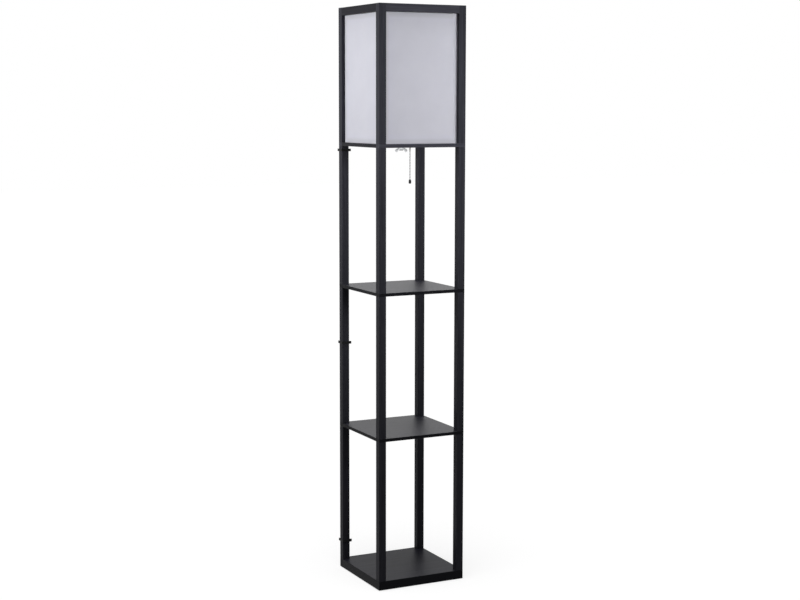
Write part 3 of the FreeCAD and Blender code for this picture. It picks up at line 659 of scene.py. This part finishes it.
def threadedNipple(size):
    # the outside is a ramp in and out once a pitch, later by one pitch for each turn, and the
    # chamfer at each end takes what stands past a cone; the inside is a plain bore
    low, high, pitch, columns = (size[key] for key in ("low", "high", "pitch", "columns"))
    step = pitch / size["rowsPerTurn"]
    z = np.arange(low, high + step / 2, step)
    z[-1] = high
    angle = np.linspace(0, 2 * np.pi, columns, endpoint=False)
    phase = (z[:, None] - low) / pitch - angle / (2 * np.pi)
    ramp = np.clip(np.abs(2 * (phase % 1) - 1) * size["flank"] - size["crest"], 0, 1)
    radius = size["radius"] - size["threadDepth"] * ramp
    toEnd = np.minimum(z - low, high - z)[:, None]
    radius = np.minimum(radius, size["radius"] - np.maximum(size["chamfer"] - toEnd, 0))
    radius = np.vstack([radius, np.full((2, columns), size["bore"])])
    return [(carryRound(radius, np.append(z, [high, low]), columns), True, True)]


makePiece("threaded_nipple_turned", threadedNipple(nippleSizes), zincSteel, "frame",
          ["threaded_nipple"], 50)

nutSizes = {
    "seat": 1216.8,
    "hubFoot": 1209.3,
    "hubRadii": (6.4, 7.5),      # at the foot and at the seat
    "bore": 4.95,
    "shoulder": (5.3, 1215.8),   # where the upper edge of a wing leaves the hub
    "root": (5.9, 1209.9),       # and the lower edge
    "tip": (12.8, 1205.8),
    "tipRadius": 4.2,
    "wingThick": 2.6,
    "squareness": 0.55,          # of a wing's section: 1 is an ellipse, and less is squarer
    "hubEase": (0.9, 0.35, 0.3, 0.5),   # foot, seat, and the bore's upper and lower edge
    "turn": -25.0,               # degrees
    "tipFade": 6,                # how late a wing's thickness falls off round its tip
    "hubColumns": 72,
    "wingRows": (14, 12),        # as far as the tip, and round it
    "wingColumns": 24,
}


def turnedBy(grid, degrees):
    c, s = math.cos(math.radians(degrees)), math.sin(math.radians(degrees))
    return grid @ np.array([[c, -s, 0], [s, c, 0], [0, 0, 1]]).T


def wingOf(size):
    # a rounded-box section carried from the hub to the tip: its height grows to the tip's, then
    # falls round a half circle, and both ends draw in to a point
    shoulder, root, tip = (np.array(size[key]) for key in ("shoulder", "root", "tip"))
    start = (shoulder + root) / 2
    along = (tip - start) / np.linalg.norm(tip - start)
    across = np.array([-along[1], along[0]])
    straightRows, roundRows = size["wingRows"]
    share = np.linspace(0, 1, straightRows)[:, None]
    centres = start + share * (tip - start)
    heights = (1 - share) * (shoulder - root) / 2 + share * across * size["tipRadius"]
    bend = np.linspace(0, np.pi / 2, roundRows)[1:, None]
    centres = np.vstack([start, centres, tip + along * size["tipRadius"] * np.sin(bend)])
    heights = np.vstack([heights[:1] * 0, heights, across * size["tipRadius"] * np.cos(bend)])
    thick = np.ones(len(centres)) * size["wingThick"] / 2
    thick[0] = 0
    thick[-len(bend):] *= np.sqrt(np.clip(1 - np.sin(bend[:, 0]) ** size["tipFade"], 0, 1))
    turn = np.linspace(0, 2 * np.pi, size["wingColumns"], endpoint=False)
    box = np.stack([np.cos(turn), np.sin(turn)])
    box = np.sign(box) * np.abs(box) ** size["squareness"]
    plane = centres[:, None] + heights[:, None] * box[0][None, :, None]
    side = thick[:, None] * box[1]
    return np.stack([plane[..., 0], side, plane[..., 1]], axis=-1)


def wingNut(size):
    foot, seat, bore = size["hubFoot"], size["seat"], size["bore"]
    low, high = size["hubRadii"]
    corners = [(low, foot), (high, seat), (bore, seat), (bore, foot)]
    hub = easeCorners(corners, size["hubEase"])
    surfaces = [(carryRound(hub[:, 0], hub[:, 1], size["hubColumns"]), True, True)]
    for degrees in (0, 180):
        surfaces.append((turnedBy(wingOf(size), size["turn"] + degrees), False, True))
    return surfaces


makePiece("wing_nut_cast", wingNut(nutSizes), zincSteel, "frame", ["wing_nut"], 45)
print("clamp made")

threadSizes = {
    "pitch": 3.63,
    "swell": 0.4,                # half the depth of the rolled thread
    "shellInside": 13.15,
    "shellWall": 0.4,
    "shellLow": 1252.4,
    "shellTurns": 7,
    "flangeInner": 9.55,
    "capMean": 12.7,
    "capLow": 1256.85,
    "capThreadLow": 1259.66,
    "capTurns": 5,
    "capRim": 2.0,
    "glassOutline": [            # radius, and height above the cap's foot
        (0, 0), (3.9, 0), (4.5, 0.02), (4.7, 0.12),
        (8.2, 1.15), (12.2, 2.51), (12.58, 2.81), (0, 2.81),
    ],
    "rowsPerTurn": 14,
    "columns": 72,
}


def rolledWave(z, low, turns, size):
    # out and in once a pitch, a pitch later after each turn, and flat at both ends
    phase = (z[:, None] - size["shellLow"]) / size["pitch"]
    angle = np.linspace(0, 2 * np.pi, size["columns"], endpoint=False)
    length = turns * size["pitch"]
    fade = np.clip(np.minimum(z - low, low + length - z) / (size["pitch"] / 2), 0, 1)[:, None]
    return size["swell"] * np.sin(2 * np.pi * phase - angle) * fade


def screwShell(size):
    low, turns = size["shellLow"], size["shellTurns"]
    z = np.linspace(low, low + turns * size["pitch"], turns * size["rowsPerTurn"] + 1)
    inner = size["shellInside"] + rolledWave(z, low, turns, size)
    outer = inner + size["shellWall"]
    foot = low - size["shellWall"]
    columns = size["columns"]
    flange = np.full((2, columns), size["flangeInner"])
    corner = np.full(columns, size["shellInside"] + size["shellWall"])
    radius = np.vstack([flange, corner, outer, inner[::-1]])
    height = np.concatenate([[low, foot, foot], z, z[::-1]])
    return [(carryRound(radius, height, columns), True, True)]


def capShell(size):
    # the metal skin, open below where the glass fills it and closed under the collar
    low, turns, mean = size["capThreadLow"], size["capTurns"], size["capMean"]
    z = np.linspace(low, low + turns * size["pitch"], turns * size["rowsPerTurn"] + 1)
    wave = mean + rolledWave(z, low, turns, size)
    columns = size["columns"]
    rim = z[-1] + size["capRim"]
    radius = np.vstack([np.zeros(columns), wave, np.full(columns, mean), np.zeros(columns)])
    height = np.concatenate([[low], z, [rim, rim]])
    return [(carryRound(radius, height, columns), False, True)]


def capGlass(size):
    # a shallow black cone between the tip and the metal skin, with eased edges
    radius, rise = np.array(size["glassOutline"]).T
    return [(carryRound(radius, size["capLow"] + rise, size["columns"]), False, True)]


tipSizes = {
    "low": 1255.05,
    "foot": 2.7,
    "radius": 4.5,
    "height": 1.6,
    "fullness": 0.8,     # 1 is a quarter of an ellipse, and less rises sooner
    "pin": 1.0,          # radius of the wire behind it
    "gap": 0.2,
    "rows": 9,
    "columns": 48,
}


def capTip(size):
    # a low solder dome: flat where it meets the contact, round at its edge
    turn = np.linspace(0, np.pi / 2, size["rows"])
    radius = size["foot"] + (size["radius"] - size["foot"]) * np.sin(turn)
    height = size["low"] + size["height"] * (1 - np.cos(turn)) ** size["fullness"]
    top = size["low"] + size["height"]
    radius = np.concatenate([[0], radius, [size["pin"], size["pin"], 0]])
    height = np.concatenate([[size["low"]], height, [top, top + size["gap"], top + size["gap"]]])
    return [(carryRound(radius, height, size["columns"]), False, True)]


makePiece("screw_shell_rolled", screwShell(threadSizes), rolledBrass, "frame",
          ["screw_shell"], 40)
makePiece("bulb_cap_skin", capShell(threadSizes), brightNickel, "frame", ["bulb_cap"], 40)
makePiece("bulb_cap_glass", capGlass(threadSizes), blackGlass, "frame", ["bulb_cap"], 40)
makePiece("bulb_cap_tip", capTip(tipSizes), solder, "frame", ["bulb_cap"], 40)

bulbSizes = {
    "foot": 1279.81,
    "neck": (13.6, 14.3, 2.0),       # radii at the foot and above it, and how far above
    "footEase": 0.3,
    "rim": (23.0, 1305.81),
    "collarWall": 1.6,
    "ribs": 40,
    "ribDepth": 0.22,
    "ribEnds": (0.08, 0.86, 0.08),   # shares of the cone: where ribs start and end, and their fade
    "domeWall": 1.2,
    "domeRadius": 30.0,
    "domeRise": 17.0,
    "domeSwell": 1.9,
    "collarRows": 24,
    "ribColumns": 6,                 # for each rib
    "domeRows": (14, 22),            # below and above the widest ring
    "domeColumns": 96,
}


def bulbCollar(size):
    # a cone with shallow cosine ribs that fade out towards both ends, and a plain hollow inside
    foot, (rimRadius, rimHeight) = size["foot"], size["rim"]
    neckLow, neckHigh, rise = size["neck"]
    ribStart, ribEnd, ribFade = size["ribEnds"]
    columns = size["ribs"] * size["ribColumns"]
    share = np.linspace(0, 1, size["collarRows"])
    z = foot + rise + share * (rimHeight - foot - rise)
    radius = neckHigh + share * (rimRadius - neckHigh)
    angle = np.linspace(0, 2 * np.pi, columns, endpoint=False)
    fade = np.clip(np.minimum(share - ribStart, ribEnd - share) / ribFade, 0, 1)[:, None]
    rib = size["ribDepth"] * (0.5 - 0.5 * np.cos(size["ribs"] * angle)) * fade
    ease, wall = size["footEase"], size["collarWall"]
    plain = np.array([(0, foot), (neckLow - ease, foot), (neckLow, foot + ease)])
    floor = foot + wall
    inside = np.array([(rimRadius - wall, rimHeight), (neckLow - wall, floor), (0, floor)])
    below, within = (np.repeat(rows[:, :1], columns, axis=1) for rows in (plain, inside))
    radius = np.vstack([below, radius[:, None] - rib, within])
    height = np.concatenate([plain[:, 1], z, inside[:, 1]])
    return [(carryRound(radius, height, columns), False, True)]


def bulbDome(size):
    # outside: an arc from the rim to the widest ring, then a quarter circle to the top; inside the
    # same lines one wall further in
    radius, base = size["rim"]
    middle = base + size["domeRise"]
    swell = (radius + size["domeRadius"]) / 2 + size["domeSwell"]
    rowsBelow, rowsAbove = size["domeRows"]
    skins = []
    for wall in (0, size["domeWall"]):
        wide = size["domeRadius"] - wall
        between = (swell - wall, (base + middle) / 2)
        lower = arcThrough((radius - wall, base), between, (wide, middle), rowsBelow)
        turn = np.linspace(0, np.pi / 2, rowsAbove)[1:]
        upper = np.stack([wide * np.cos(turn), middle + wide * np.sin(turn)], axis=-1)
        upper[-1, 0] = 0
        skins.append(np.vstack([lower, upper]))
    profile = np.vstack([skins[0], skins[1][::-1], skins[0][:1]])
    return [(carryRound(profile[:, 0], profile[:, 1], size["domeColumns"]), False, True)]


makePiece("bulb_collar_ribbed", bulbCollar(bulbSizes), whiteMould, "frame",
          ["bulb_collar"])
makePiece("bulb_dome_opal", bulbDome(bulbSizes), opalGlass, "frame", ["bulb_dome"])
print("bulb made")

chainSizes = {
    "x": 27.1,
    "beadRadius": 1.6,
    "linkRadius": 0.5,
    "pitch": 4.25,
    "stubTop": 1246.019,
    "stubNext": 1239.019,        # the first bead below the lever
    "stubBeads": 8,
    "chainTop": 1207.519,
    "chainBeads": 21,
    "rows": 15,                  # of points from a bead's foot to its top
    "columns": 24,
}


def beadString(heights, size):
    # the radius is a bead's circle or the link's, whichever is more, from one end to the other
    turn = np.linspace(0, np.pi, size["rows"])
    z = (heights[:, None] - size["beadRadius"] * np.cos(turn)).ravel()
    radius = np.tile(size["beadRadius"] * np.sin(turn), len(heights))
    radius = np.maximum(radius, size["linkRadius"])
    radius[[0, -1]] = 0
    return [(carryRound(radius, z, size["columns"], (size["x"], 0)), False, True)]


def beadHeights(top, count, size):
    # the lowest bead first
    return (top - size["pitch"] * np.arange(count))[::-1]


stubHeights = beadHeights(chainSizes["stubNext"], chainSizes["stubBeads"] - 1, chainSizes)
stubHeights = np.append(stubHeights, chainSizes["stubTop"])
hangingHeights = beadHeights(chainSizes["chainTop"], chainSizes["chainBeads"], chainSizes)
makePiece("chain_stub_beads", beadString(stubHeights, chainSizes), chainNickel, "stub",
          ["chain_stub"], 30)
makePiece("bead_chain_beads", beadString(hangingHeights, chainSizes), chainNickel,
          "pull_chain", ["bead_chain"], 30)

couplingSizes = {
    "low": 1205.219,
    "high": 1215.819,
    "outer": 2.5,
    "bore": 1.85,
    "mouth": 1.45,
    "lip": 0.45,                 # length of the narrow mouth
    "throat": 0.8,               # from an end, where the bore is full width
    "bevel": 0.5,
    "slit": 1.0,
    "endRings": (0, 0.1, 0.25, 0.4, 0.45, 0.6, 0.8, 1.1),   # from either end
    "middleRings": (1.6, 10),    # how far in they start, and how many there are
    "columns": 40,
}


def slitTube(size, x):
    # two skins from one edge of the slit round to the other, drawn in at both ends, and joined
    # there by rings and along the slit by strips; the slit's sides are parallel, so the angle that
    # it takes depends on the radius
    low, high, throat = size["low"], size["high"], size["throat"]
    ends = np.array(size["endRings"])
    start, count = size["middleRings"]
    middle = np.linspace(low + start, high - start, count)
    z = np.unique(np.concatenate([low + ends, high - ends, middle]))
    toEnd = np.minimum(z - low, high - z)
    short = np.clip(1 - toEnd / size["bevel"], 0, 1)
    outer = size["outer"] - size["bevel"] * (1 - np.sqrt(1 - short**2))
    narrow = np.clip((throat - toEnd) / (throat - size["lip"]), 0, 1)
    inner = size["bore"] + (size["mouth"] - size["bore"]) * narrow
    share = np.linspace(0, 1, size["columns"])
    skins = []
    for radius in (outer, inner):
        half = np.arcsin(size["slit"] / 2 / radius)[:, None]
        angle = np.pi / 2 + half + share * (2 * np.pi - 2 * half)
        ring = radius[:, None]
        height = np.broadcast_to(z[:, None], angle.shape)
        skins.append(np.stack([x + ring * np.cos(angle), ring * np.sin(angle), height], axis=-1))
    outside, inside = skins
    return [
        (outside, False, False),
        (inside[::-1], False, False),
        (np.stack([inside[0], outside[0]]), False, False),
        (np.stack([outside[-1], inside[-1]]), False, False),
        (np.stack([inside[:, 0], outside[:, 0]], axis=1), False, False),
        (np.stack([outside[:, -1], inside[:, -1]], axis=1), False, False),
    ]


makePiece("chain_coupling_rolled", slitTube(couplingSizes, chainSizes["x"]), brightNickel,
          "coupling", ["chain_coupling"], 40)

bellSizes = {
    "top": 1125.319,
    "height": 11.0,
    "topRadius": 2.7,
    "waist": (3.7, 5.8),         # radius, and how far below the top
    "footRadius": 3.3,
    "bore": 1.9,
    "hole": 0.8,
    "wall": 1.2,
    "grooves": (2.6, 9.2),       # below the top
    "grooveDepth": 0.18,
    "grooveWidth": 0.24,
    "rows": 90,
    "columns": 48,
}


def chainBell(size, x):
    # an arc from the rim over the waist to the shoulder, less a narrow bell curve at each groove
    top = size["top"]
    low = top - size["height"]
    waistRadius, drop = size["waist"]
    arc = arcThrough((size["footRadius"], low), (waistRadius, top - drop), (size["topRadius"], top),
                     size["rows"])
    below = top - arc[:, 1]
    for groove in size["grooves"]:
        arc[:, 0] -= size["grooveDepth"] * np.exp(-(((below - groove) / size["grooveWidth"]) ** 2))
    ledge = top - size["wall"]
    inner = [(size["hole"], top), (size["hole"], ledge), (size["bore"], ledge), (size["bore"], low)]
    profile = np.vstack([arc, inner])
    return [(carryRound(profile[:, 0], profile[:, 1], size["columns"], (x, 0)), True, True)]


makePiece("chain_bell_turned", chainBell(bellSizes, chainSizes["x"]), blackLacquer,
          "pull_chain", ["chain_bell"], 40)
print("chain made")

springSizes = {
    "line": [(14.0, 1230.15), (20.695, 1230.15), (22.195, 1232.15), (19.195, 1240.035)],  # x, z
    "bend": 0.9,
    "bendSteps": 9,
    "thick": 0.3,
    "width": 4.0,
    "rows": 60,
    "still": (19.3, 0.0, 1232.3),   # a point low on the spring, beside the box
    "tip": (19.3, 0.0, 1239.9),     # and a point high on it, at the lever
}


def leafSpring(size):
    # a flat strip carried along a line of three runs with eased bends, in even steps: across it is
    # the way turned by a right angle, and both ends are closed on their middle
    ease, steps = size["bend"], size["bendSteps"]
    bent = easeCorners(size["line"], (0, ease, ease, 0), steps)[steps - 1:1 - steps]
    along = np.concatenate([[0], np.cumsum(np.linalg.norm(np.diff(bent, axis=0), axis=1))])
    even = np.linspace(0, along[-1], size["rows"])
    x, z = (np.interp(even, along, bent[:, axis]) for axis in (0, 1))
    centre = np.stack([x, np.zeros_like(x), z], axis=-1)
    way = np.gradient(centre, axis=0)
    way /= np.linalg.norm(way, axis=1)[:, None]
    across = np.stack([-way[:, 2], way[:, 1], way[:, 0]], axis=-1) * size["thick"] / 2
    side = np.array([0, size["width"] / 2, 0])
    ring = np.stack([side - across, side + across, -side + across, -side - across], axis=1)
    first, last = (np.repeat(centre[[index], None], 4, axis=1) for index in (0, -1))
    return [(np.concatenate([first, centre[:, None] + ring, last]), False, True)]


leverSpring = makePiece("lever_spring_bent", leafSpring(springSizes), rolledBrass, None,
                        ["lever_spring"], 40)
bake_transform(leverSpring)
print("spring made")

padSizes = {
    "spacing": 86.0,         # from the middle of the lamp, both ways
    "radius": 12.5,
    "thick": 2.0,
    "edge": 0.5,
    "edgeSteps": 6,
    "fray": 0.12,
    "frayWaves": (17, 29, 43),   # round the rim
    "columns": 90,
}


def feltPads(size):
    # four discs with a soft rounded edge, whose rim wanders in by the sum of three sine waves
    reach, thick, ease, steps = (size[key] for key in ("radius", "thick", "edge", "edgeSteps"))
    corners = [(0, 0), (reach, 0), (reach, thick), (0, thick)]
    outline = easeCorners(corners, (0, ease, ease, 0), steps)[steps - 1:1 - steps]
    angle = np.linspace(0, 2 * np.pi, size["columns"], endpoint=False)
    slow, middle, quick = size["frayWaves"]
    surfaces = []
    for number, (x, y) in enumerate([(-1, -1), (1, -1), (1, 1), (-1, 1)]):
        fray = np.sin(slow * angle + number) + np.sin(middle * angle + 2 * number)
        fray = (fray + np.sin(quick * angle) + 3) / 6
        radius = outline[:, :1] - size["fray"] * fray * (outline[:, :1] > 1)
        centre = (x * size["spacing"], y * size["spacing"])
        surfaces.append((carryRound(radius, outline[:, 1], size["columns"], centre), False, True))
    return surfaces


makePiece("felt_pads_cut", feltPads(padSizes), blackFelt, "frame", ["felt_pads"])
print("pads made")
